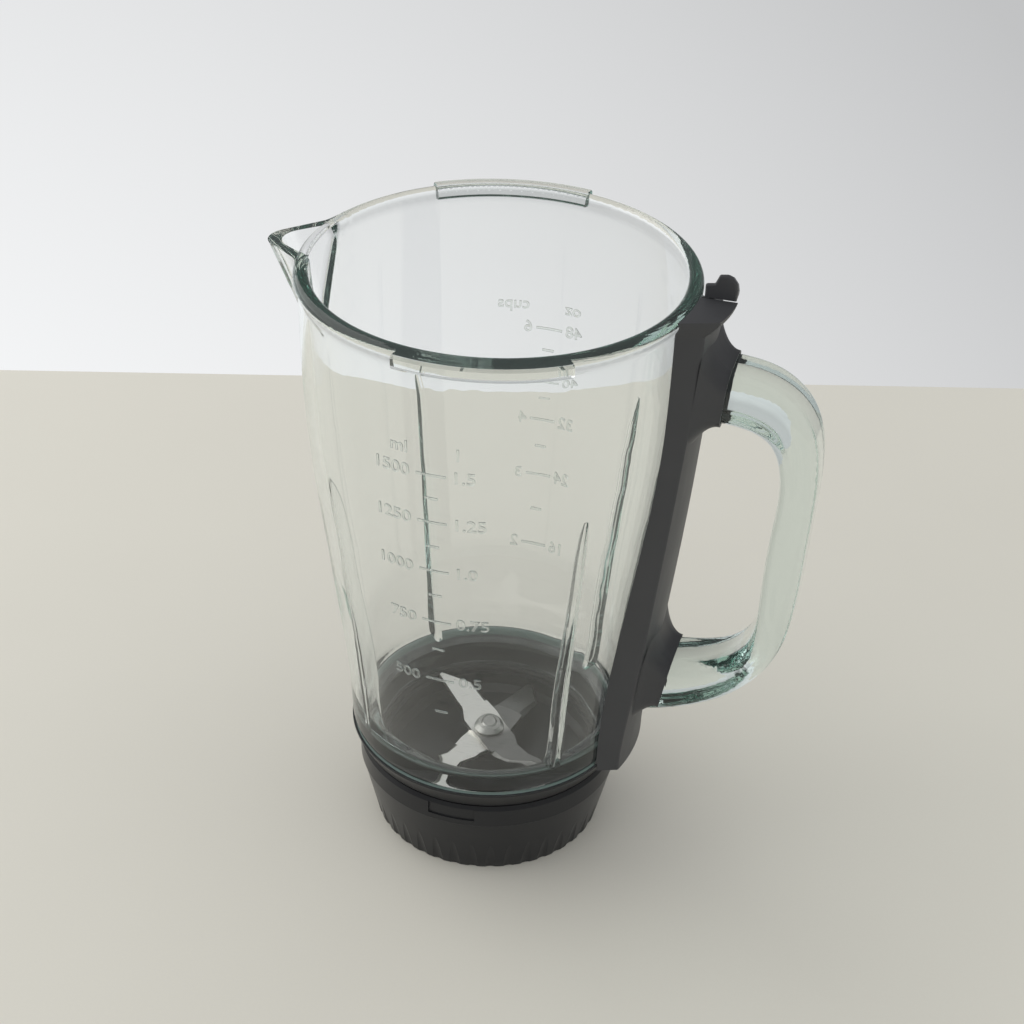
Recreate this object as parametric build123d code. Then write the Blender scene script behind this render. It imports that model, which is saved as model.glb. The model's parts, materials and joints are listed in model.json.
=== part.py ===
"""Glass blender jar: a pressed glass jug with a solid glass handle, a black spine that carries the lid
interlock rod, and a twist-off blade base with two crossed blades and a toothed drive coupling."""
import os
from math import atan, cos, degrees, hypot, radians, sin

from build123d import *

os.makedirs("parts", exist_ok=True)

# Glass body. Z is the jar's axis, the origin is the middle of the foot, the handle is towards +X
wall = 4.0
shoulder_r = 52.5
mouth_r = 67.9
bead_out = 1.5
rim_z = 232.0
bead_h = 8.0
shoulder_z = 43.0
shoulder_h = 5.0
floor_t = 5.5
neck_bore = 41.5
neck_t = 4.0
neck_h = 9.0

# Swell of the wall: share of its height, and share of the way from the shoulder's radius to the mouth's
swell = [(0.0, 0.0), (0.136, 0.11), (0.284, 0.31), (0.4375, 0.545), (0.591, 0.766), (0.739, 0.92),
         (0.886, 0.987), (1.0, 1.0)]

# Pouring lip, lid lugs and inner ribs of the glass
lip_out = 19.5
lip_half = 25.0
lip_drop = 44.0
lip_nose = 7.5
lip_dip = 4.5
lip_out_round = 5.0
lip_in_round = 2.5
lug_angles = (-78.0, 102.0)
lug_span = 47.0
lug_out = 3.2
lug_h = 5.0
lug_drop = 5.6
rib_angles = (45.0, 135.0, 225.0, 315.0)
rib_w = 4.6
rib_depth = 4.6
rib_drop = 67.0

# Fade of a rib: share of its height, share of its depth and share of its width
rib_fade = [(-0.03, 1.4, 1.0), (0.1, 1.0, 1.0), (0.45, 0.9, 0.9), (0.8, 0.68, 0.75), (0.94, 0.42, 0.6),
            (1.0, 0.04, 0.4)]

# Solid glass handle, thicker at both roots
grip_x = 108.5
grip_t = 12.8
grip_lean = 2.3
handle_w = 24.0
handle_edge = 5.6
top_root_drop = 34.0
low_root_rise = 33.0
top_root_t = 19.0
low_root_t = 20.0

# Blade base and collar ring: radii follow from the neck, heights from its lower edge
seal_t = 2.4
seal_gap = 0.35
lap = 1.5
flange_t = 2.0
lock_gap = 0.4
sleeve_t = 2.5
sleeve_h = 12.0
turn_gap = 0.5
band_t = 3.2
lug_t = 2.6
lock_lugs = 4
lock_span = 30.0
foot_r = 43.5
skirt_t = 2.2
step_drop = 8.5
flutes = 40
flute_r = 4.2
flute_depth = 0.7
bowl_t = 2.0
bowl_drop = 10.0
bowl_round = 2.5
web_t = 3.0
boss_r = 9.0
boss_drop = 3.0
mark_w = 18.0
mark_h = 5.2
mark_drop = 4.0
mark_depth = 0.6

# Spindle, bearings, blades and drive
shaft_r = 4.0
step_r = 3.0
run_fit = 0.05
bush_t = 2.0
bush_h = 6.0
lip_seal_h = 2.2
washer_t = 0.8
washer_gap = 0.2
blade_t = 1.5
blade_w = 13.0
blade_hub = 14.0
tip_gap = 1.8
blade_lift = 2.2
upper_bends = (3.0, 8.5)
lower_bends = (-10.0, 0.0)
blade_turn = 75.0
blade_cross = 60.0
cap_r = 5.6
cap_h = 2.6
drive_r = 9.5
drive_tip = 12.5
drive_teeth = 12
drive_h = 9.0
drive_clear = 5.0
insert_t = 2.0

# Black spine between the glass and the handle, in two halves, and the interlock rod inside the back one.
# Its back stands off the wall by spine_out at a share of its height, and flares into a hood at the top
fit = 0.3
room = 0.35
spine_rise = 6.8
spine_drop = 1.0
spine_out = [(0.0, 6.0), (0.065, 6.4), (0.185, 7.7), (0.34, 7.8), (0.52, 7.1), (0.69, 6.7), (0.83, 7.5),
             (0.952, 8.6), (1.0, 8.7)]
hood_out = [(0.945, 8.3), (0.968, 9.6), (0.982, 12.3), (1.0, 14.1)]
spine_half = 22.0
spine_narrow = 3.2
spine_draft = 3.0
spine_depth = 8.0
spine_crown = 64.0
hood_crown = 45.0
spine_edge = 1.2
collar_lap = 1.3
collar_out = 14.6
collar_rise = 0.6
collar_tilt = (5.4, 10.3)
flare = [(0.0, 0.0, 0.0), (2.0, 0.1, 0.4), (5.0, 0.9, 3.0), (7.5, 2.3, 7.2), (9.5, 3.7, 13.0)]
rail_t = 1.6
rail_w = 2.6
rail_in = 1.1
rail_rest = 0.4
tab_rise = 8.7
tab_h = 4.0
tab_y = 5.0
well_floor = 1.5
head_gap = 1.3
head_rest = 0.2
head_split = 0.4
head_round = 0.8
head_ramp = 0.5
head_follow = 0.12
seat_fall = 0.3
rod_travel = 3.0
spring_r = 1.5
spring_wire = 0.5
spring_turns = 5
spring_y = 9.0

# Sizes that follow from those above
rim_r = mouth_r + bead_out
neck_r = neck_bore + neck_t
neck_z = shoulder_z - neck_h
floor_z = shoulder_z + floor_t
bead_z = rim_z - bead_h
flange_r = neck_bore + lap
flange_z = neck_z - seal_t
bowl_out = flange_r - 2.2
bowl_r = bowl_out - bowl_t
bowl_z = neck_z - bowl_drop
sleeve_in = flange_r + lock_gap
sleeve_r = sleeve_in + sleeve_t
sleeve_z = neck_z - sleeve_h
lock_z = sleeve_z + lug_t
skirt_in = sleeve_r + turn_gap
band_r = skirt_in + band_t
collar_r = shoulder_r + 0.1
collar_z = neck_z + 1.0
band_z = collar_z - 0.4
step_z = neck_z - step_drop
web_z = sleeve_z - 1.0
boss_z = neck_z - boss_drop
bush_r = shaft_r + bush_t
drive_z = drive_clear + drive_h
low_bush_z = drive_z + washer_t + washer_gap
top_bush_z = boss_z - lip_seal_h - bush_h
blade_z = boss_z + blade_lift
blade_reach = bowl_r - tip_gap
top_root_z = rim_z - top_root_drop
low_root_z = shoulder_z + low_root_rise
spine_top = rim_z - spine_drop
spine_foot = neck_z + spine_rise
rail_y = handle_w / 2 + fit + 0.6
rail_end = rail_y + rail_w
head_x = rim_r + head_gap
lean_z = shoulder_z + 1.0
rail_x = collar_r + rail_in
lean = (head_x - rail_x) / (spine_top - lean_z)


def solid(shape):
    """The shape as one plain solid."""
    return max(shape.solids(), key=lambda s: s.volume)


def section(points):
    """A face in the XZ plane through points given as (x, z)."""
    return make_face(Polyline([(x, 0, z) for x, z in points], close=True))


def curve(points, tangents=()):
    """A smooth line in the XZ plane through points given as (x, z)."""
    ends = [(x, 0, z) for x, z in tangents]
    return Spline([(x, 0, z) for x, z in points], tangents=ends or None)


def joined(*lines):
    """A face bounded by the lines in turn, with straight runs from each to the next."""
    edges = []
    for line, after in zip(lines, lines[1:] + lines[:1]):
        edges.extend(line.edges())
        if ((line @ 1) - (after @ 0)).length > 1e-6:
            edges.append(Line(line @ 1, after @ 0))
    return make_face(Wire(edges))


def turned(points, span=360.0):
    """A ring, disc or arc of a ring about Z, from points given as (radius, z), centred on +X."""
    return Rot(0, 0, -span / 2) * revolve(section(points), Axis.Z, span)


def ring(inner, outer, low, high):
    """A plain ring about Z."""
    return turned([(inner, low), (outer, low), (outer, high), (inner, high)])


def slab(face, half):
    """A face of the XZ plane thickened by half to each side."""
    return extrude(face, amount=half, both=True)


def at_angles(shape, angles):
    """Copies of a shape turned about Z."""
    return [Rot(0, 0, a) * shape for a in angles]


def evenly(count):
    """That many angles round a circle."""
    return [i * 360.0 / count for i in range(count)]


def wall_line(gap):
    """Points of the wall's outside from shoulder to bead, moved out by gap."""
    low = shoulder_z + shoulder_h
    return [(shoulder_r + s * (mouth_r - shoulder_r) + gap, low + t * (bead_z - low)) for t, s in swell]


def wall_at(z):
    """The wall's outer radius at a height."""
    line = wall_line(0)
    for (r0, z0), (r1, z1) in zip(line, line[1:]):
        if z <= z1:
            return r0 + (r1 - r0) * max(0.0, z - z0) / (z1 - z0)
    return mouth_r


def leaning(x, z):
    """The x at height z of a line that leans with the glass and is at x where the lean starts."""
    return x + (z - lean_z) * lean


def body_form(gap):
    """The outer form of the glass, filled, and gap larger all round."""
    side = wall_line(gap)
    r0, z0 = side[0]
    low = shoulder_z - gap
    crest = rim_r + gap
    foot = Polyline([(0, 0, neck_z), (neck_r + gap, 0, neck_z), (neck_r + gap, 0, low), (r0 - 3.0, 0, low)])
    heel = curve([(r0 - 3.0, low), (r0 - 0.4, low + 2.0), (r0, z0)], [(1, 0), (0.03, 1)])
    bead = curve([side[-1], (crest, rim_z - bead_h * 0.36), (crest - 2.6, rim_z + gap)], [(0, 1), (-1, 0.1)])
    return revolve(joined(foot, heel, curve(side, [(0.03, 1), (0, 1)]), bead,
                          Line((0, 0, rim_z + gap), (0, 0, neck_z))), Axis.Z)


def cavity_form():
    """The space inside the glass: neck bore, rounded shoulder, tapered body and mouth."""
    side = wall_line(-wall)[1:]
    r0, z0 = side[0]
    r1 = side[-1][0]
    bore = Polyline([(0, 0, neck_z - 1), (neck_bore, 0, neck_z - 1), (neck_bore, 0, floor_z - 2.5)])
    ledge = curve([(neck_bore, floor_z - 2.5), (neck_bore + 1.6, floor_z - 0.5), (r0 - 4.2, floor_z + 0.6)],
                  [(0, 1), (1, 0.1)])
    heel = curve([(r0 - 4.2, floor_z + 0.6), (r0 - 1.4, floor_z + 4.5), (r0, z0)], [(1, 0.1), (0.1, 1)])
    edge = curve([(r1, rim_z - 2.0), (r1 + 2.9, rim_z + 0.3)], [(0, 1), (1, 0.3)])
    return revolve(joined(bore, ledge, heel, curve(side, [(0.1, 1), (0, 1)]), edge,
                          Line((0, 0, rim_z + 0.3), (0, 0, neck_z - 1))), Axis.Z)


def lip_form(inset, low, top):
    """The pouring lip, a funnel that leans out from the wall to a rounded tip."""
    start = wall_at(low) - inset - 1.2
    root = -start * 0.86
    rims = []
    for z, tip, half, nose in ((low, start, lip_half * 0.5, lip_nose * 0.7),
                               (top, mouth_r + lip_out - inset, lip_half - inset, lip_nose)):
        wedge = Polygon((root, half), (-tip, 0.0), (root, -half), align=None)
        tilt = lip_dip if z == top else 0.0
        rims.append(Pos(root, 0, z) * Rot(0, -tilt, 0) * Pos(-root, 0, 0) *
                    fillet(wedge.vertices().sort_by(Axis.X)[0], nose))
    return loft(rims)


def lip_creases(shape, inset):
    """The long edges where the lip leaves the wall, inset from the wall's outside."""
    picked = []
    for edge in shape.edges():
        x, y, z = edge.center()
        on_wall = abs(hypot(x, y) - wall_at(z) + inset) < 1 and rim_z - lip_drop < z < bead_z
        if on_wall and x < 0 and abs(y) > lip_nose / 2 and edge.length > 20:
            picked.append(edge)
    return picked


def grown(points, gap):
    """The points of a line in the XZ plane, each moved by gap to the left of its run."""
    moved = []
    for i, (x, z) in enumerate(points):
        (x0, z0), (x1, z1) = points[max(i - 1, 0)], points[min(i + 1, len(points) - 1)]
        run = hypot(x1 - x0, z1 - z0)
        moved.append((x - (z1 - z0) * gap / run, z + (x1 - x0) * gap / run))
    return moved


def handle_form(gap):
    """The glass handle, gap larger all round, with its long edges rounded and its roots inside the wall."""
    half = grip_t / 2
    top, low = top_root_z, low_root_z
    middle = (top + low) / 2 + 10
    outer = [(wall_at(top) - 7, top + top_root_t / 2 - 0.5), (grip_x - 22.5, top + top_root_t / 2 + 0.5),
             (grip_x - 8, top + 6), (grip_x + 2.5, top - 4.5), (grip_x + half + 0.3, top - 20),
             (grip_x + half - 0.5, middle), (grip_x + half - grip_lean, low + 42), (grip_x - 0.2, low + 22),
             (grip_x - 11.5, low + 5), (grip_x - 26.5, low - 5.5), (wall_at(low) - 5, low - low_root_t * 0.7)]
    inner = [(wall_at(low) - 5, low + low_root_t * 0.4), (grip_x - 26.5, low + 13), (grip_x - 16.5, low + 18),
             (grip_x - 10.2, low + 27.5), (grip_x - half - grip_lean + 0.4, low + 42),
             (grip_x - half - 0.5, middle), (grip_x - half + 0.1, top - 24), (grip_x - 10.5, top - 14),
             (grip_x - 22.5, top - top_root_t / 2 + 0.5), (wall_at(top) - 7, top - top_root_t / 2 - 0.5)]
    bar = slab(joined(curve(grown(outer, gap)), curve(grown(inner, gap))), handle_w / 2 + gap)
    rims = [e for e in bar.edges() if e.length > 100 and abs(e.center().Y) > handle_w / 4]
    return fillet(rims, handle_edge + gap)


# The pressed glass: body, lip, lugs and handle first, then the hollow, then the ribs inside it
lug_z = rim_z - lug_drop
lug_r = rim_r + lug_out
lug = turned([(rim_r - 4, lug_z), (lug_r - 0.8, lug_z), (lug_r, lug_z + 1), (lug_r, lug_z + lug_h - 1),
              (lug_r - 0.8, lug_z + lug_h), (rim_r - 4, lug_z + lug_h)], lug_span)
lip_z = rim_z - lip_drop
glass = body_form(0) + lip_form(0, lip_z, rim_z)
glass = fillet(lip_creases(glass, 0.0), lip_out_round)
glass = glass + at_angles(lug, lug_angles) + handle_form(0)
glass = glass - cavity_form() - lip_form(wall, lip_z + 5, rim_z + 0.3)
glass = fillet(lip_creases(glass, wall), lip_in_round)
rib_top = rim_z - rib_drop
rib_rise = rib_top - floor_z
rib_rims = []
for share, depth, width in rib_fade:
    z = floor_z + share * rib_rise
    root = wall_at(z) - wall + 0.6
    tip = wall_at(z) - wall - rib_depth * depth
    half = rib_w / 2 * width
    fin = Polygon((root, half), (tip, half * 0.7), (tip, -half * 0.7), (root, -half), align=None)
    rib_rims.append(Pos(0, 0, z) * fillet(fin.vertices().sort_by(Axis.X)[:2], half * 0.6))
rib = loft(rib_rims)
glass_jug = solid(glass + at_angles(rib, rib_angles))


def spine_plan(share, out, crown):
    """The spine's outline from above at a share of its height: drafted sides and a crowned back."""
    z = spine_foot + share * (spine_top - spine_foot)
    half = spine_half - spine_narrow * max(0.0, 2 * share - 1) - spine_draft
    back = wall_at(z) + out
    edge = back - half ** 2 / (2 * crown)
    root = edge - 3 * spine_depth
    wide = half + 3 * spine_draft
    arc = ThreePointArc((edge, -half), (back, 0), (edge, half))
    sides = Polyline((edge, half), (root, wide), (root, -wide), (edge, -half))
    plan = make_face(Wire([arc, *sides.edges()]))
    return Pos(0, 0, z) * fillet(plan.vertices().sort_by(Axis.X)[-2:], spine_edge)


def root_collar(x, z, root_t, tilt):
    """A flared collar round a handle root, from its end back into the spine."""
    end = Plane((x, 0, z), x_dir=(0, 1, 0), z_dir=(cos(radians(tilt)), 0, -sin(radians(tilt))))
    rims = []
    for back, grow_y, grow_z in flare:
        wide = handle_w + 2 * (collar_lap + grow_y)
        high = root_t + 2 * (collar_lap + grow_z)
        corner = handle_edge + collar_lap + grow_y
        rims.append(end * Pos(0, 0, -back) * RectangleRounded(wide, high, corner))
    return loft(rims)


# Spine: it follows the glass, flares into a collar round each handle root and into a hood at the top
spine = loft([spine_plan(share, out, spine_crown) for share, out in spine_out])
spine = spine + loft([spine_plan(share, out, hood_crown) for share, out in hood_out])
roots = ((top_root_z, top_root_t), (low_root_z, low_root_t))
for (root_z, root_t), tilt in zip(roots, collar_tilt):
    spine = spine + root_collar(wall_at(root_z) + collar_out, root_z + collar_rise, root_t, tilt)
clear_r = collar_r + fit
collar_gap = turned([(0, spine_foot - 1), (clear_r, spine_foot - 1), (clear_r, shoulder_z + 1),
                     (0, shoulder_z + 1)])
spine = spine - body_form(fit) - handle_form(fit) - collar_gap


def leaning_bar(x, t, low, high, y0, y1):
    """A flat bar that leans with the glass, from x to x + t where the lean starts."""
    face = section([(leaning(x, low), low), (leaning(x + t, low), low), (leaning(x + t, high), high),
                    (leaning(x, high), high)])
    return Pos(0, y0, 0) * extrude(face, amount=y1 - y0, dir=(0, 1, 0))


def sloped(z, far):
    """All of the back half between a height and a plane that falls towards the back from z at the seam."""
    back = spine_half + 3
    low = z - back * seat_fall
    side = Polyline((0, -1, z + seat_fall), (0, back, low), (0, back, far), (0, -1, far), close=True)
    return Pos(neck_bore, 0, 0) * extrude(make_face(side), amount=grip_x, dir=(1, 0, 0))


# Interlock rod: a flat rail past the glass roots, a tab for the spring, and a hooked head that follows the
# rim, with a ramp along its top that the lid's cam turns onto
rail_low = spine_foot + rail_rest
rail_top = spine_top - rail_end * seat_fall + rail_t
tab_z = spine_foot + tab_rise
head_z = spine_top + head_rest
hook = section([(head_x + x, head_z + z) for x, z in (
    (0, -1), (10.6, -1), (11.0, 4), (10.6, 6.4), (9.0, 8.6), (7.2, 9.3), (4.6, 8.9), (3.2, 5.6), (0, 5.1))])
head_run = Vector(-head_follow, 1, -head_ramp)
head_w = (rail_end - head_split) * head_run.length
head = Pos(0, head_split, 0) * extrude(hook, amount=head_w, dir=head_run)
head_rims = [e for e in head.edges() if e.center().Z + head_ramp * e.center().Y > head_z + 0.5]
rod = fillet(head_rims, head_round) - sloped(head_z, neck_z)
rod = rod + leaning_bar(rail_x, rail_t, rail_low, rail_top, rail_y, rail_end)
rod = rod + leaning_bar(rail_x, rail_t, tab_z, tab_z + tab_h, tab_y, rail_end)
interlock_rod = solid(rod)

# Hollow of the back half: the rail's slot, the tab's and the spring's wells, and the head's seat
well_z = spine_foot + well_floor
well_y = spring_r + spring_wire / 2 + room
slot_x = rail_x - 4
slot_t = rail_t + 4 + room
slot_y = rail_end + room
hollow = leaning_bar(slot_x, slot_t, spine_foot - 1, spine_top + 1, rail_y - room, slot_y)
hollow = hollow + leaning_bar(slot_x, slot_t, well_z, tab_z + tab_h + room, tab_y - room, slot_y)
hollow = hollow + leaning_bar(slot_x, rail_t / 2 + 4 + well_y, well_z, tab_z + room, spring_y - well_y,
                              spring_y + well_y)
hollow = hollow + sloped(head_z - rod_travel - room, rim_z)
handle_cover_front = solid(split(spine, bisect_by=Plane.XZ, keep=Keep.TOP))
handle_cover_back = solid(split(spine, bisect_by=Plane.XZ, keep=Keep.BOTTOM) - hollow)

# Return spring of the rod, in the foot of the back half
spring_low = well_z + spring_wire / 2
spring_len = tab_z - spring_low - spring_wire / 2 - 0.1
coil = Helix(pitch=spring_len / spring_turns, height=spring_len, radius=spring_r)
wire = sweep(Plane(coil @ 0, z_dir=coil % 0) * Circle(spring_wire / 2), path=coil, is_frenet=True)
spring_x = leaning(rail_x + rail_t / 2, (spring_low + tab_z) / 2)
rod_spring = solid(Pos(spring_x, spring_y, spring_low) * wire)

# Collar ring: a cone bonded under the glass, with a sleeve and bayonet lugs for the blade base
collar = turned([(sleeve_in, sleeve_z), (sleeve_r, sleeve_z), (sleeve_r, band_z), (band_r - 1.0, collar_z),
                 (band_r - 0.4, collar_z + 0.6), (collar_r, shoulder_z - 0.8), (collar_r, shoulder_z - 0.05),
                 (neck_r + 0.05, shoulder_z - 0.05), (neck_r + 0.05, neck_z - 0.1),
                 (sleeve_in, neck_z - 0.1)])
ring_lug = turned([(bowl_out + lock_gap, sleeve_z), (sleeve_in + 0.5, sleeve_z), (sleeve_in + 0.5, lock_z),
                   (bowl_out + lock_gap, lock_z)], lock_span)
jar_ring = solid(collar + at_angles(ring_lug, evenly(lock_lugs)))

# Blade base in one moulding: skirt with flutes, band, web, and a bowl with its bearing boss
skirt_r = band_r - 0.3
shell = turned([
    (foot_r - skirt_t, 0), (foot_r - 0.4, 0), (foot_r, 0.6), (skirt_r, step_z), (band_r, step_z + 0.3),
    (band_r, band_z - 1.6), (band_r - 0.9, band_z), (skirt_in, band_z), (skirt_in, web_z), (bowl_out, web_z),
    (bowl_out, flange_z - flange_t), (flange_r, flange_z - flange_t + 0.4), (flange_r, flange_z),
    (bowl_r, flange_z), (bowl_r, bowl_z + bowl_round), (bowl_r - bowl_round, bowl_z), (boss_r + 2, bowl_z),
    (boss_r, bowl_z + 2), (boss_r, boss_z), (bush_r, boss_z), (bush_r, top_bush_z), (bush_r - 1, top_bush_z),
    (bush_r - 1, low_bush_z + bush_h), (bush_r, low_bush_z + bush_h), (bush_r, low_bush_z),
    (boss_r, low_bush_z), (boss_r, bowl_z - bowl_t - 0.5), (bowl_r - 3, bowl_z - bowl_t - 0.5),
    (bowl_r - 0.5, web_z - web_t), (skirt_r - skirt_t - 1, web_z - web_t)])
taper = degrees(atan((skirt_r - foot_r) / step_z))
flute = Pos(foot_r + flute_r - flute_depth, 0, 0) * Rot(0, taper + 3.2, 0) * Cylinder(flute_r, 40)
base_lug = turned([(bowl_out - 0.5, lock_z + fit), (flange_r, lock_z + fit),
                   (flange_r, flange_z - flange_t + 0.5),
                   (bowl_out - 0.5, flange_z - flange_t + 0.5)], lock_span)
shell = shell - at_angles(flute, evenly(flutes)) + at_angles(base_lug, evenly(lock_lugs))
mark_z = band_z - mark_drop
mark = Rot(0, 0, -90) * turned([
    (band_r - mark_depth, mark_z - mark_h / 2), (band_r + 1, mark_z - mark_h / 2),
    (band_r + 1, mark_z + mark_h / 2), (band_r - mark_depth, mark_z + mark_h / 2)], degrees(mark_w / band_r))
blade_base = solid(shell - mark)

# Sealing ring on the base's flange, under the edge of the glass neck
seal_top = neck_z - seal_gap
sealing_ring = solid(turned([(neck_bore - 0.9, flange_z), (flange_r - 0.1, flange_z),
                             (flange_r - 0.1, seal_top), (neck_bore - 0.1, seal_top),
                             (neck_bore - 0.9, seal_top - 0.7)]))

# Bearings: two bushes in the boss and a lip seal over the upper one
upper_bush = solid(ring(shaft_r + run_fit, bush_r, top_bush_z, top_bush_z + bush_h))
lower_bush = solid(ring(shaft_r + run_fit, bush_r, low_bush_z, low_bush_z + bush_h))
shaft_seal = solid(turned([(shaft_r + 0.6, boss_z - lip_seal_h), (bush_r, boss_z - lip_seal_h),
                           (bush_r, boss_z + 0.4), (shaft_r + 1.2, boss_z + 0.4),
                           (shaft_r + run_fit, boss_z - 0.3), (shaft_r + run_fit, boss_z - 1.0)]))

# Spindle: its shoulder carries the washer and the blades, and the cap holds them down
cap_z = blade_z + 2 * blade_t
shaft_end = cap_z + cap_h + 0.2
blade_shaft = solid(turned([
    (0, drive_clear + 2), (shaft_r - 0.5, drive_clear + 2), (shaft_r, drive_clear + 2.5), (shaft_r, blade_z),
    (step_r, blade_z), (step_r, shaft_end - 0.6), (step_r - 0.6, shaft_end), (0, shaft_end)]))
thrust_washer = solid(ring(shaft_r, bush_r + 1.2, blade_z - washer_t, blade_z))


def blade(low, bends):
    """A two-armed blade stamped from sheet, each arm bent by its own angle and sharpened on one edge."""
    half = blade_w / 2
    shape = Pos(0, 0, low) * extrude(Polygon(
        (blade_hub, half - 2), (blade_hub - 6, half), (-blade_hub, half), (-blade_hub, 2 - half),
        (6 - blade_hub, -half), (blade_hub, -half), align=None), amount=blade_t)
    for bend, turn in zip(bends, evenly(2)):
        length = (blade_reach - blade_hub) / cos(radians(bend))
        outline = Polygon((0, -half), (length * 0.55, -half), (length, half - 5.5), (length * 0.96, half - 3),
                          (0, half - 2), align=None)
        arm = extrude(outline, amount=blade_t)
        top_edges = [e for e in arm.edges() if e.center().Z > blade_t - 0.01]
        edge = [e for e in top_edges if e.center().Y < 0.6 and e.center().X > 1]
        fold = blade_t if bend < 0 else 0.0
        arm = Rot(0, -bend, 0) * Pos(0, 0, -fold) * chamfer(edge, blade_t * 0.8)
        shape = shape + Rot(0, 0, turn) * Pos(blade_hub, 0, low + fold) * arm
    return solid(shape - Pos(0, 0, low) * Cylinder(step_r, 6 * blade_t))


lower_blade = Rot(0, 0, blade_turn) * blade(blade_z, lower_bends)
upper_blade = Rot(0, 0, blade_turn + blade_cross) * blade(blade_z + blade_t, upper_bends)
blade_cap = solid(turned([(step_r, cap_z), (cap_r, cap_z), (cap_r, cap_z + 0.9),
                          (cap_r - 1.4, cap_z + cap_h - 0.5), (step_r, cap_z + cap_h - 0.2)]))

# Toothed drive coupling with a metal insert on the lower end of the spindle, and the washer over it
insert_r = shaft_r + insert_t
hub = turned([(insert_r, drive_clear), (drive_r - 0.8, drive_clear), (drive_r, drive_clear + 0.8),
              (drive_r, drive_z), (insert_r, drive_z)])
tooth = extrude(Polygon((drive_r - 1, -1.7), (drive_tip, -1), (drive_tip, 1), (drive_r - 1, 1.7), align=None),
                amount=drive_h - 2)
drive_coupling = solid(hub + at_angles(Pos(0, 0, drive_clear) * tooth, evenly(drive_teeth)))
drive_insert = solid(ring(shaft_r, insert_r, drive_clear + 1.5, drive_z))
lower_washer = solid(ring(shaft_r, bush_r + 1.2, drive_z, drive_z + washer_t))

nodes = {
    "glass_jug": glass_jug, "handle_cover_front": handle_cover_front, "handle_cover_back": handle_cover_back,
    "interlock_rod": interlock_rod, "rod_spring": rod_spring, "jar_ring": jar_ring, "blade_base": blade_base,
    "sealing_ring": sealing_ring, "upper_bush": upper_bush, "lower_bush": lower_bush,
    "shaft_seal": shaft_seal, "blade_shaft": blade_shaft, "thrust_washer": thrust_washer,
    "lower_blade": lower_blade,
    "upper_blade": upper_blade, "blade_cap": blade_cap, "drive_coupling": drive_coupling,
    "drive_insert": drive_insert, "lower_washer": lower_washer,
}
for name, shape in nodes.items():
    export_step(shape, f"parts/{name}.step")
    box = shape.bounding_box()
    print(name, shape.is_valid, round(shape.volume), [round(v, 1) for v in (*box.min, *box.max)])
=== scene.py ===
import bpy
import json
import math
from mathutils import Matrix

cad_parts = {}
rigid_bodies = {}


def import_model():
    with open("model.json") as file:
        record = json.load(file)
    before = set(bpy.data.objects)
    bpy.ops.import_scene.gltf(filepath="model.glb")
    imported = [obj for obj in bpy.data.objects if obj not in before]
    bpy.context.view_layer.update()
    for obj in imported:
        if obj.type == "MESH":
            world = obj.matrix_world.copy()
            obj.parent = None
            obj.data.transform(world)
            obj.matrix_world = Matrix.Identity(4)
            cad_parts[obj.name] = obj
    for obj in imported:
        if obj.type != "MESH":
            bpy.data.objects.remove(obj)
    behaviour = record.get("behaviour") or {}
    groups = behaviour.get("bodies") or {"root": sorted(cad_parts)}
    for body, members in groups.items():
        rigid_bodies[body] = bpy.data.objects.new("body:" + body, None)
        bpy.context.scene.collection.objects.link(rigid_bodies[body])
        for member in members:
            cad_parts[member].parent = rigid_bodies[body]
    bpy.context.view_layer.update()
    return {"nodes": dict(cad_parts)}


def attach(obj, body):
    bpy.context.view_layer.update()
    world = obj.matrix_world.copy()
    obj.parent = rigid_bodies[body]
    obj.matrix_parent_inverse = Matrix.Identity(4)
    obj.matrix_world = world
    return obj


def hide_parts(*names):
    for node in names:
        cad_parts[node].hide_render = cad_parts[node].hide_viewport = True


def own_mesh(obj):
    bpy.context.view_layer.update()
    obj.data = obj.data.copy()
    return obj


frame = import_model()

jar = frame["nodes"]


# Glass jug: one thick pressing of soda-lime glass, with body, lip, lugs, ribs and handle in one.
# It is clear across the wall, green where one looks along it, and faintly wavy from the mould.
# A merged copy stands for the node, and its normals are set square to the profile of the wall.
class Amount:
    """A number that changes over a surface. Sums and products add Math nodes to its finish."""

    def __init__(self, finish, socket):
        self.finish = finish
        self.socket = socket

    def math(self, operation, a, b):
        return self.finish.node("ShaderNodeMath", {"operation": operation}, {0: a, 1: b})

    def __add__(self, other):
        return self.math("ADD", self, other)

    def __radd__(self, other):
        return self.math("ADD", other, self)

    def __sub__(self, other):
        return self.math("SUBTRACT", self, other)

    def __rsub__(self, other):
        return self.math("SUBTRACT", other, self)

    def __mul__(self, other):
        return self.math("MULTIPLY", self, other)

    def __rmul__(self, other):
        return self.math("MULTIPLY", other, self)

    def __truediv__(self, other):
        return self.math("DIVIDE", self, other)

    def __pow__(self, other):
        return self.math("POWER", self, other)

    def at_least(self, other):
        return self.math("MAXIMUM", self, other)

    def at_most(self, other):
        return self.math("MINIMUM", self, other)

    def within(self, low, high):
        return self.at_least(low).at_most(high)


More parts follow.
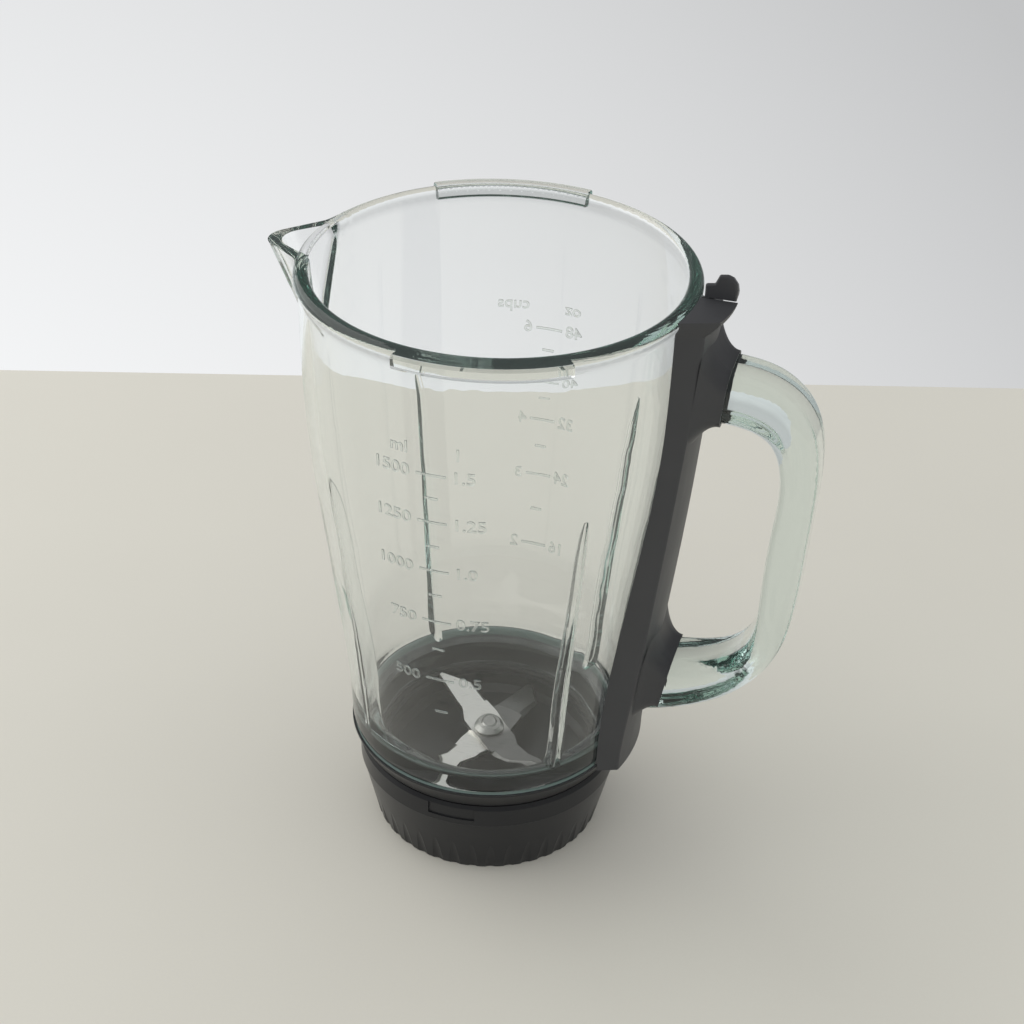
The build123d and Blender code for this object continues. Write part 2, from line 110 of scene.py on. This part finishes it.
class Finish:
    """A material or the world under construction: its nodes, and the shader that shows."""

    def __init__(self, owner, output="ShaderNodeOutputMaterial"):
        self.owner = owner
        owner.use_nodes = True
        self.tree = owner.node_tree
        self.tree.nodes.clear()
        self.output = self.tree.nodes.new(output)

    def node(self, kind, settings, sockets, out=0):
        made = self.tree.nodes.new(kind)
        for key, value in settings.items():
            setattr(made, key, value)
        for key, value in sockets.items():
            if isinstance(value, Amount):
                self.tree.links.new(value.socket, made.inputs[key])
            else:
                made.inputs[key].default_value = value
        return Amount(self, made.outputs[out])

    def place(self, scale, turn=(0.0, 0.0, 0.0)):
        where = self.node("ShaderNodeTexCoord", {}, {}, "Object")
        return self.node("ShaderNodeMapping", {}, {
            "Vector": where, "Rotation": turn, "Scale": scale})

    def along(self, axis, turn=(0.0, 0.0, 0.0)):
        """Metres along one axis of the jar, or of the jar turned about its middle."""
        return self.node("ShaderNodeSeparateXYZ", {}, {
            "Vector": self.place((1.0, 1.0, 1.0), turn)}, axis)

    def off_axis(self):
        """Metres from the jar's upright axis."""
        x, y = self.along("X"), self.along("Y")
        return (x * x + y * y) ** 0.5

    def noise(self, scale, detail, turn=(0.0, 0.0, 0.0)):
        """Soft patches, so many to the metre, the same all ways or given for X, Y and Z."""
        if isinstance(scale, float):
            scale = (scale, scale, scale)
        return self.node("ShaderNodeTexNoise", {}, {
            "Vector": self.place(scale, turn), "Scale": 1.0, "Detail": detail}, "Fac")

    def shade(self, share, low, high):
        """Colour between two others, which are red, green and blue or shades themselves."""
        low, high = ((*c, 1.0) if isinstance(c, tuple) else c for c in (low, high))
        return self.node("ShaderNodeMix", {"data_type": "RGBA"}, {0: share, 6: low, 7: high}, 2)

    def bump(self, height, strength, depth):
        return self.node("ShaderNodeBump", {}, {
            "Height": height, "Strength": strength, "Distance": depth})

    def ray(self, kind):
        return self.node("ShaderNodeLightPath", {}, {}, kind)

    def surface(self, sockets):
        return self.node("ShaderNodeBsdfPrincipled", {}, sockets)

    def pale_shadow(self, surface, tint):
        """The surface, which tints the light that falls through it and does not block it."""
        clear = self.node("ShaderNodeBsdfTransparent", {}, {"Color": (*tint, 1.0)})
        return self.node("ShaderNodeMixShader", {}, {
            0: self.ray("Is Shadow Ray"), 1: surface, 2: clear})

    def show(self, shader, volume=None):
        self.tree.links.new(shader.socket, self.output.inputs["Surface"])
        if volume:
            self.tree.links.new(volume.socket, self.output.inputs["Volume"])
        return self.owner


def wear(piece, material):
    piece.data.materials.clear()
    piece.data.materials.append(material)


def merged_copy(node, name):
    """A copy of a CAD node with its triangles joined, to stand for the node."""
    bpy.ops.object.select_all(action="DESELECT")
    jar[node].select_set(True)
    bpy.context.view_layer.objects.active = jar[node]
    bpy.ops.object.duplicate()
    piece = bpy.context.object
    piece.name = name
    bpy.ops.object.parent_clear(type="CLEAR_KEEP_TRANSFORM")
    bpy.ops.mesh.customdata_custom_splitnormals_clear()
    bpy.ops.object.mode_set(mode="EDIT")
    bpy.ops.mesh.select_all(action="SELECT")
    bpy.ops.mesh.remove_doubles(threshold=0.000002)
    bpy.ops.object.mode_set(mode="OBJECT")
    bpy.ops.object.shade_smooth_by_angle(angle=math.radians(35.0))
    return piece


jug = merged_copy("glass_jug", "pressed_jug")
heel_z = 0.056
rim_low = 0.222
handle_side = 0.072
heel_reach = 0.0014
wall_reach = 0.008
plain_sector = 0.7
plain_lean = 0.1
wall_lean = 0.15
enough_points = 3.0
same_way = 0.94

profile = {}
for v in jug.data.vertices:
    radius = math.hypot(v.co.x, v.co.y)
    outwards = (v.co.x * v.normal.x + v.co.y * v.normal.y) / radius
    sideways = abs(v.co.x * v.normal.y - v.co.y * v.normal.x)
    plain = sideways < plain_lean * radius and abs(v.co.x) < abs(v.co.y) * plain_sector
    if plain and v.co.z < heel_z + heel_reach:
        cell = ("heel", int(radius / heel_reach), int(v.co.z / heel_reach))
        profile.setdefault(cell, []).append((radius, v.co.z))
    if plain and heel_z - wall_reach < v.co.z < rim_low + wall_reach / 4:
        cell = (outwards > 0, 0, int(v.co.z / wall_reach))
        profile.setdefault(cell, []).append((radius, v.co.z))


def across_profile(radius, z, outside):
    """Normal (outwards, up) of the turned glass, square to the points of its profile nearby."""
    wall = z > heel_z
    reach = wall_reach if wall else heel_reach
    group = outside if wall else "heel"
    column = 0 if wall else int(radius / reach)
    row = int(z / reach)
    near = []
    for i in (0,) if wall else (-1, 0, 1):
        for j in (-1, 0, 1):
            for r, h in profile.get((group, column + i, row + j), ()):
                share = 1.0 - ((r - radius) ** 2 + (h - z) ** 2) / reach ** 2
                if share > 0:
                    near.append((share, r, h))
    total = sum(w for w, r, h in near)
    if total < enough_points:
        return None
    mid_r = sum(w * r for w, r, h in near) / total
    mid_h = sum(w * h for w, r, h in near) / total
    rr = sum(w * (r - mid_r) ** 2 for w, r, h in near)
    hh = sum(w * (h - mid_h) ** 2 for w, r, h in near)
    rh = sum(w * (r - mid_r) * (h - mid_h) for w, r, h in near)
    lean = 0.5 * math.atan2(2.0 * rh, rr - hh)
    return -math.sin(lean), math.cos(lean)


found = {}
normals = []
for corner, normal in zip(jug.data.loops, jug.data.corner_normals):
    x, y, z = jug.data.vertices[corner.vertex_index].co
    n = normal.vector
    radius = math.hypot(x, y)
    outwards = x * n.x + y * n.y
    square = tuple(n)
    turned = abs(x * n.y - y * n.x) < wall_lean * radius
    if turned and z < rim_low and radius < handle_side:
        key = (round(radius, 5), round(z, 5), outwards > 0)
        if key not in found:
            found[key] = across_profile(*key)
        if found[key]:
            out, up = found[key]
            match = out * outwards / radius + up * n.z
            if abs(match) > same_way:
                way = math.copysign(1.0, match)
                square = (way * out * x / radius, way * out * y / radius, way * up)
    normals.append(square)
jug.data.normals_split_custom_set(normals)

clear_glass = Finish(bpy.data.materials.new("pressed_glass"))
film = clear_glass.noise((38.0, 38.0, 14.0), 4.0)
wave = clear_glass.noise((30.0, 30.0, 9.0), 1.0)
glass_face = clear_glass.surface({
    "Base Color": (1.0, 1.0, 1.0, 1.0), "IOR": 1.52, "Transmission Weight": 0.994,
    "Roughness": film * 0.012, "Normal": clear_glass.bump(wave, 0.04, 0.0012)})
green_depth = clear_glass.node("ShaderNodeVolumeAbsorption", {}, {
    "Color": (0.22, 0.66, 0.54, 1.0), "Density": 7.0})
wear(jug, clear_glass.show(
    clear_glass.pale_shadow(glass_face, (0.93, 0.96, 0.945)), green_depth))
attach(jug, "jug")
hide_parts("glass_jug")


# Measuring scales: numbers and strokes pressed with the glass, a third of a millimetre proud.
# Millilitres and litres face the user, ounces and cups are on the far side.
# They are clear glass too, faintly frosted by the engraving of the mould.
digit_size = 0.0064
digit_stretch = 1.08
long_stroke = 0.0104
short_stroke = 0.0046
stroke_w = 0.0009
relief = 0.00028
sunk = 0.00015
clear_of_wall = 0.1
usual_r = 0.06


def stroke(length):
    bpy.ops.object.select_all(action="DESELECT")
    bpy.ops.mesh.primitive_cube_add(size=1.0)
    piece = bpy.context.object
    piece.scale = (length, stroke_w, relief + sunk)
    piece.location = (0.0, 0.0, (relief - sunk) / 2)
    bpy.ops.object.transform_apply(location=True, rotation=False, scale=True)
    bpy.ops.object.mode_set(mode="EDIT")
    bpy.ops.mesh.select_all(action="SELECT")
    bpy.ops.mesh.subdivide(number_cuts=5)
    bpy.ops.object.mode_set(mode="OBJECT")
    soft = piece.modifiers.new("soft_edges", "BEVEL")
    soft.width = relief * 0.6
    soft.segments = 2
    soft.limit_method = "ANGLE"
    bpy.ops.object.modifier_apply(modifier=soft.name)
    return piece


def digits(words, side):
    bpy.ops.object.select_all(action="DESELECT")
    bpy.ops.object.text_add()
    letters = bpy.context.object.data
    letters.body = words
    letters.size = digit_size
    letters.align_x = side
    letters.align_y = "CENTER"
    letters.bevel_depth = relief * 0.3
    letters.bevel_resolution = 1
    letters.extrude = (relief + sunk) / 2 - relief * 0.3
    letters.resolution_u = 5
    bpy.ops.object.convert(target="MESH")
    piece = bpy.context.object
    piece.scale = (digit_stretch, 1.0, 1.0)
    piece.location = (0.0, 0.0, (relief - sunk) / 2)
    bpy.ops.object.transform_apply(location=True, rotation=False, scale=True)
    bpy.ops.object.mode_set(mode="EDIT")
    bpy.ops.mesh.select_all(action="SELECT")
    bpy.ops.mesh.remove_doubles(threshold=0.000005)
    bpy.ops.mesh.normals_make_consistent(inside=False)
    bpy.ops.object.mode_set(mode="OBJECT")
    return piece


def on_wall(piece, middle, z):
    """Lays a flat piece on the outside of the wall, middle in degrees round the jar, z up it."""
    for v in piece.data.vertices:
        high = z + v.co.y
        turn = math.radians(middle)
        for step in range(3):
            away = (math.cos(turn) * clear_of_wall, math.sin(turn) * clear_of_wall, high)
            hit, where, normal, face = jug.ray_cast(
                away, (-away[0], -away[1], 0.0), distance=0.06)
            radius = math.hypot(where.x, where.y) if hit else usual_r
            turn = math.radians(middle) + v.co.x / radius
        radius += v.co.z
        v.co = (radius * math.cos(turn), radius * math.sin(turn), high)


metric_side = -92.0
litre_heights = {1.5: 0.1876, 1.375: 0.1784, 1.25: 0.1686, 1.125: 0.1584, 1.0: 0.1479,
                 0.875: 0.137, 0.75: 0.1249, 0.625: 0.1119, 0.5: 0.0973, 0.375: 0.0818}
metric_heads = {"ml": -0.0112, "l": 0.0092}
metric_heads_z = 0.1964
ml_gap = 0.0022
litre_gap = 0.0016
cup_side = 88.4
cup_heights = {6: 0.1750, 5.5: 0.1662, 5: 0.1572, 4.5: 0.1480, 4: 0.1382, 3.5: 0.1272,
               3: 0.1150, 2.5: 0.1010, 2: 0.0860}
cup_heads = {"oz": -0.0094, "cups": 0.0144}
cup_heads_z = 0.1842
cup_gap = 0.0014
left_end = -long_stroke / 2
right_end = long_stroke / 2

marks = []
for litres, z in litre_heights.items():
    numbered = litres * 4 % 1 == 0
    marks.append((stroke(long_stroke if numbered else short_stroke), metric_side, z, 0.0))
    if numbered:
        millilitres = digits(str(round(litres * 1000)), "RIGHT")
        marks.append((millilitres, metric_side, z, left_end - ml_gap))
        marks.append((digits(str(litres), "LEFT"), metric_side, z, right_end + litre_gap))
for words, across in metric_heads.items():
    marks.append((digits(words, "CENTER"), metric_side, metric_heads_z, across))
for cups, z in cup_heights.items():
    numbered = cups % 1 == 0
    marks.append((stroke(long_stroke if numbered else short_stroke), cup_side, z, 0.0))
    if numbered:
        marks.append((digits(str(round(cups * 8)), "RIGHT"), cup_side, z, left_end - cup_gap))
        marks.append((digits(str(cups), "LEFT"), cup_side, z, right_end + cup_gap))
for words, across in cup_heads.items():
    marks.append((digits(words, "CENTER"), cup_side, cup_heads_z, across))
for piece, middle, z, across in marks:
    for v in piece.data.vertices:
        v.co.x += across
    on_wall(piece, middle, z)
bpy.ops.object.select_all(action="DESELECT")
for piece, middle, z, across in marks:
    piece.select_set(True)
bpy.context.view_layer.objects.active = marks[0][0]
bpy.ops.object.join()
scales = bpy.context.object
scales.name = "measuring_scales"

relief_glass = Finish(bpy.data.materials.new("relief_glass"))
bite = relief_glass.noise(700.0, 3.0)
wear(scales, relief_glass.show(relief_glass.pale_shadow(relief_glass.surface({
    "Base Color": (0.95, 0.97, 0.95, 1.0), "IOR": 1.52, "Transmission Weight": 0.92,
    "Roughness": 0.04 + bite * 0.08}), (0.95, 0.97, 0.96))))
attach(scales, "jug")


# Spine and interlock rod: satin black mouldings, two covers that meet in a seam at the handle.
# The mould gives them a very fine grain, and handling has left faint upright scuffs.
# The covers clasp the handle's roots, and the rod slides between them.
black = Finish(bpy.data.materials.new("spine_plastic"))
spine_dark = (0.040, 0.041, 0.044)
spine_pale = (0.052, 0.053, 0.056)
mottle = black.noise(60.0, 5.0)
grain = black.noise(2600.0, 2.0)
scuff = black.noise((240.0, 240.0, 24.0), 4.0)
spine_plastic = black.show(black.surface({
    "Base Color": black.shade(mottle, spine_dark, spine_pale), "Specular IOR Level": 0.45,
    "Roughness": 0.36 + mottle * 0.1 + scuff * 0.1, "Normal": black.bump(grain, 0.12, 0.0001)}))
for name in ("handle_cover_front", "handle_cover_back", "interlock_rod"):
    wear(jar[name], spine_plastic)


# Return spring of the rod: a coil of bare hard-drawn wire in the foot of the spine.
# A merged copy stands for the node.
spring = merged_copy("rod_spring", "return_spring")
wire = Finish(bpy.data.materials.new("spring_wire"))
wire_dark = (0.46, 0.46, 0.46)
wire_pale = (0.66, 0.65, 0.63)
drawn = wire.noise((900.0, 900.0, 120.0), 3.0)
wear(spring, wire.show(wire.surface({
    "Base Color": wire.shade(drawn, wire_dark, wire_pale), "Metallic": 1.0,
    "Roughness": 0.28 + drawn * 0.2})))
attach(spring, "jug")
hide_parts("rod_spring")
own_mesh(spring)


# Collar ring and blade base: hard black mouldings that twist together under the glass.
# The ring is bonded to the glass. The base has a fluted skirt.
# Its foot is rubbed dull and grey where it stands.
base_black = Finish(bpy.data.materials.new("base_plastic"))
base_dark = (0.016, 0.0165, 0.018)
base_pale = (0.023, 0.0235, 0.025)
rubbed_grey = (0.10, 0.10, 0.098)
rubbed_high = 0.004
cloud = base_black.noise(70.0, 5.0)
pores = base_black.noise(2200.0, 2.0)
low_down = (1.0 - base_black.along("Z") / rubbed_high).within(0.0, 1.0)
rubbed = low_down * base_black.noise(300.0, 4.0)
moulded = base_black.shade(cloud, base_dark, base_pale)
base_plastic = base_black.show(base_black.surface({
    "Base Color": base_black.shade(rubbed * 0.5, moulded, rubbed_grey),
    "Specular IOR Level": 0.3, "Roughness": 0.25 + cloud * 0.1 + rubbed * 0.3,
    "Normal": base_black.bump(pores, 0.1, 0.0001)}))
for name in ("jar_ring", "blade_base"):
    wear(jar[name], base_plastic)


# Bond of the ring: a thin coat of black adhesive on the glass neck and under its shoulder.
# It wets the glass, so the neck looks black from inside. Under the heel it is painted
# green-grey, a painted glow of light in the glass.
# A circle is drawn up the neck, out to the heel, and back.
neck_r = 0.0455
neck_top = 0.043
neck_low = 0.0343
bond_r = 0.0518
wet = 0.00003
fill = 0.00002
# Where the painted green-grey heel glow begins, and the width over which it comes in.
glow_from = 0.0474
glow_over = 0.0010
bpy.ops.object.select_all(action="DESELECT")
bpy.ops.mesh.primitive_circle_add(
    vertices=160, radius=neck_r - wet, location=(0.0, 0.0, neck_low))
bond = bpy.context.object
bond.name = "ring_bond"
bpy.ops.object.transform_apply(location=True, rotation=False, scale=False)
bpy.ops.object.mode_set(mode="EDIT")
bpy.ops.mesh.select_all(action="SELECT")
drawn_r, drawn_z = neck_r - wet, neck_low
for next_r, next_z in (
        (neck_r - wet, neck_top + wet), (bond_r, neck_top + wet), (bond_r, neck_top - fill),
        (neck_r + fill, neck_top - fill), (neck_r + fill, neck_low), (neck_r - wet, neck_low)):
    bpy.ops.mesh.extrude_edges_move(
        TRANSFORM_OT_translate={"value": (0.0, 0.0, next_z - drawn_z)})
    widen = next_r / drawn_r
    bpy.ops.transform.resize(value=(widen, widen, 1.0), center_override=(0.0, 0.0, 0.0))
    drawn_r, drawn_z = next_r, next_z
bpy.ops.mesh.select_all(action="SELECT")
bpy.ops.mesh.remove_doubles(threshold=0.000005)
bpy.ops.mesh.normals_make_consistent(inside=False)
bpy.ops.object.mode_set(mode="OBJECT")
bpy.ops.object.shade_smooth_by_angle(angle=math.radians(40.0))

glue = Finish(bpy.data.materials.new("black_adhesive"))
smear_and_glow = glue.noise(220.0, 4.0)
thick_glue = glue.shade(smear_and_glow, (0.018, 0.018, 0.018), (0.034, 0.034, 0.033))
# Painted glow: the green-grey out under the heel stands in for light seen in the glass heel, not
# the adhesive's own colour.
painted_heel_glow = glue.shade(smear_and_glow, (0.17, 0.23, 0.21), (0.24, 0.30, 0.28))
glow_share = ((glue.off_axis() - glow_from) / glow_over).within(0.0, 1.0)
wear(bond, glue.show(glue.surface({
    "Base Color": glue.shade(glow_share, thick_glue, painted_heel_glow), "Roughness": 0.4 + smear_and_glow * 0.2})))
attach(bond, "jug")


# Seals: a flat ring under the edge of the glass and a lip seal round the spindle.
# Both are moulded in matt black rubber with a faint bloom, and are seated in the base.
rubber = Finish(bpy.data.materials.new("seal_rubber"))
rubber_dark = (0.045, 0.045, 0.046)
rubber_pale = (0.075, 0.074, 0.072)
bloom = rubber.noise(180.0, 4.0)
tooth = rubber.noise(1500.0, 2.0)
seal_rubber = rubber.show(rubber.surface({
    "Base Color": rubber.shade(bloom, rubber_dark, rubber_pale), "Specular IOR Level": 0.3,
    "Roughness": 0.68 + bloom * 0.16, "Normal": rubber.bump(tooth, 0.15, 0.0001)}))
for name in ("sealing_ring", "shaft_seal"):
    wear(jar[name], seal_rubber)


# Bearing bushes and the coupling's insert: short sleeves of sintered bronze.
# They are pressed from powder, and so are brown, dull and finely pitted.
bronze = Finish(bpy.data.materials.new("sintered_bronze"))
bronze_dark = (0.40, 0.27, 0.14)
bronze_pale = (0.62, 0.47, 0.27)
stain = bronze.noise(260.0, 4.0)
pits = bronze.noise(3200.0, 2.0)
sintered_bronze = bronze.show(bronze.surface({
    "Base Color": bronze.shade(stain, bronze_dark, bronze_pale), "Metallic": 1.0,
    "Roughness": 0.42 + stain * 0.2, "Normal": bronze.bump(pits, 0.3, 0.0001)}))
for name in ("upper_bush", "lower_bush", "drive_insert"):
    wear(jar[name], sintered_bronze)


# Blades: two strips of stainless sheet, stamped and bent up, crossed on the spindle.
# The sheet is brushed along its length. The arm of each on the handle's side is painted dark, a
# painted dark reflection.
def brushed_steel(name, turn):
    """Steel of a blade that lies at a turn, in degrees round the jar, with one arm painted dark
    as a reflection.
    """
    steel = Finish(bpy.data.materials.new(name))
    along_blade = (0.0, 0.0, math.radians(-turn))
    dark_reflection_over = 0.012
    brush = steel.noise((120.0, 4200.0, 4200.0), 3.0, along_blade)
    haze_and_dark_edge = steel.noise(140.0, 3.0)
    # Painted dark reflection: one arm of each blade is coloured near black, standing in for the
    # dark surroundings it reflects.
    painted_dark_reflection = (0.2 - steel.along("X", along_blade) / dark_reflection_over + haze_and_dark_edge * 0.3).within(0.0, 0.85)
    bright = steel.shade(brush * 0.6 + haze_and_dark_edge * 0.4, (0.72, 0.70, 0.66), (0.86, 0.84, 0.80))
    return steel.show(steel.surface({
        "Base Color": steel.shade(painted_dark_reflection, bright, (0.07, 0.07, 0.07)), "Metallic": 1.0,
        "Roughness": 0.24 + brush * 0.1, "Normal": steel.bump(brush, 0.02, 0.0001)}))


wear(jar["upper_blade"], brushed_steel("upper_blade_steel", 135.0))
wear(jar["lower_blade"], brushed_steel("lower_blade_steel", 255.0))


# Spindle, cap nut and washers: stainless steel, turned on a lathe.
# The tool leaves fine rings round the axis. The nut clamps the blades on the spindle.
lathe = Finish(bpy.data.materials.new("turned_steel"))
turned_dark = (0.32, 0.315, 0.30)
turned_pale = (0.46, 0.45, 0.43)
rings_per_metre = 9000.0
rings = lathe.node("ShaderNodeTexNoise", {"noise_dimensions": "1D"}, {
    "W": lathe.off_axis() * rings_per_metre, "Scale": 1.0, "Detail": 2.0}, "Fac")
turned_steel = lathe.show(lathe.surface({
    "Base Color": lathe.shade(rings, turned_dark, turned_pale), "Metallic": 1.0,
    "Roughness": 0.22 + rings * 0.16}))
for name in ("blade_shaft", "thrust_washer", "blade_cap", "lower_washer"):
    wear(jar[name], turned_steel)


# Drive coupling: a hard moulded gear on the lower end of the spindle.
# The motor's driver has rubbed the tips of its teeth pale.
drive = Finish(bpy.data.materials.new("coupling_plastic"))
drive_dark = (0.052, 0.052, 0.052)
drive_worn = (0.20, 0.20, 0.195)
tips_from = 0.0112
tips_over = 0.0014
tips = ((drive.off_axis() - tips_from) / tips_over).within(0.0, 1.0)
worn = tips * drive.noise(420.0, 4.0)
drive_grain = drive.noise(1800.0, 2.0)
wear(jar["drive_coupling"], drive.show(drive.surface({
    "Base Color": drive.shade(worn, drive_dark, drive_worn), "Roughness": 0.5 + worn * 0.2,
    "Normal": drive.bump(drive_grain, 0.1, 0.0001)})))


# Table: a pale, slightly warm sheet that the jar stands on.
# It is a plain plane, laid so that its straight far edge crosses behind the jar.
bpy.ops.object.select_all(action="DESELECT")
bpy.ops.mesh.primitive_plane_add(size=1.0)
table = bpy.context.object
table.name = "table"
table_wide = 4.0
table_deep = 3.5
edge_mid = (-0.0831, 0.32465)
edge_turn = math.atan2(0.1529, 0.5216)
edge_x, edge_y = math.cos(edge_turn), math.sin(edge_turn)
for v in table.data.vertices:
    across = table_wide * v.co.x
    back = 0.0 if v.co.y > 0 else -table_deep
    v.co = (edge_mid[0] + edge_x * across - edge_y * back,
            edge_mid[1] + edge_y * across + edge_x * back, 0.0)
top = Finish(bpy.data.materials.new("table_top"))
top_dark = (0.62, 0.60, 0.53)
top_pale = (0.68, 0.66, 0.585)
patch = top.noise(6.0, 4.0)
speck = top.noise(900.0, 2.0)
wear(table, top.show(top.surface({
    "Base Color": top.shade(patch * 0.7 + speck * 0.3, top_dark, top_pale),
    "Specular IOR Level": 0.3, "Roughness": 0.5 + speck * 0.1})))


# Room: a white wall behind the table, brightest low on the window's side.
# Mirror reflections see its far side darker, and plain daylight lights the rest.
scene = bpy.context.scene
room = Finish(bpy.data.worlds.new("white_room"), "ShaderNodeOutputWorld")
bright_way = (-0.8, 0.5, -1.1)
wall_bright = 0.92
wall_dim = 0.55
mirror_loss = 0.33
towards = room.node("ShaderNodeVectorMath", {"operation": "DOT_PRODUCT"}, {
    0: room.node("ShaderNodeTexCoord", {}, {}, "Generated"), 1: bright_way}, "Value")
by_camera = room.ray("Is Camera Ray")
by_mirror = room.ray("Is Glossy Ray")
by_glass = room.ray("Is Transmission Ray")
seen = by_camera.at_least(by_mirror).at_least(by_glass)
mirrored = (by_mirror - by_glass).at_least(0.0)
wall = room.node("ShaderNodeBackground", {}, {
    "Color": (0.98, 0.99, 1.0, 1.0),
    "Strength": (towards * 0.91 - 0.23).within(wall_dim - mirrored * mirror_loss, wall_bright)})
daylight = room.node("ShaderNodeBackground", {}, {
    "Color": (0.97, 0.98, 1.0, 1.0), "Strength": 0.85})
scene.world = room.show(room.node("ShaderNodeMixShader", {}, {0: seen, 1: daylight, 2: wall}))


# Light: one wide window, high on the left and a little behind the jar.
# It is a plain area lamp, as soft as daylight and slightly warm.
window_place = (-1.3, 0.1, 1.0)
lit_point = (0.0, 0.0, 0.1)
window = bpy.data.objects.new("window", bpy.data.lights.new("window", "AREA"))
scene.collection.objects.link(window)
window.data.shape = "RECTANGLE"
window.data.size, window.data.size_y = 2.2, 1.7
window.data.energy = 13.0
window.data.color = (1.0, 0.985, 0.96)
window.location = window_place
beam = [b - a for a, b in zip(window_place, lit_point)]
window.rotation_euler = (math.atan2(math.hypot(beam[0], beam[1]), -beam[2]), 0.0,
                         math.atan2(beam[1], beam[0]) - math.pi / 2)


# Camera: above the rim and a little to the handle's side, as the jar is seen on the table.
# Light crosses many faces of glass on its way, so rays bounce often.
glass_bounces = 26
clear_bounces = 24
camera = bpy.data.objects.new("camera", bpy.data.cameras.new("camera"))
scene.collection.objects.link(camera)
camera.data.lens = 73.83
camera.data.sensor_width = 36.0
camera.location = (0.17524, -0.61529, 0.54649)
camera.rotation_euler = [math.radians(a) for a in (57.10, -1.2985, 16.14)]
scene.camera = camera
scene.view_settings.view_transform = "Standard"
scene.cycles.use_denoising = True
scene.cycles.max_bounces = glass_bounces
scene.cycles.transmission_bounces = glass_bounces
scene.cycles.glossy_bounces = glass_bounces
scene.cycles.transparent_max_bounces = clear_bounces
scene.cycles.caustics_reflective = False
scene.cycles.caustics_refractive = False
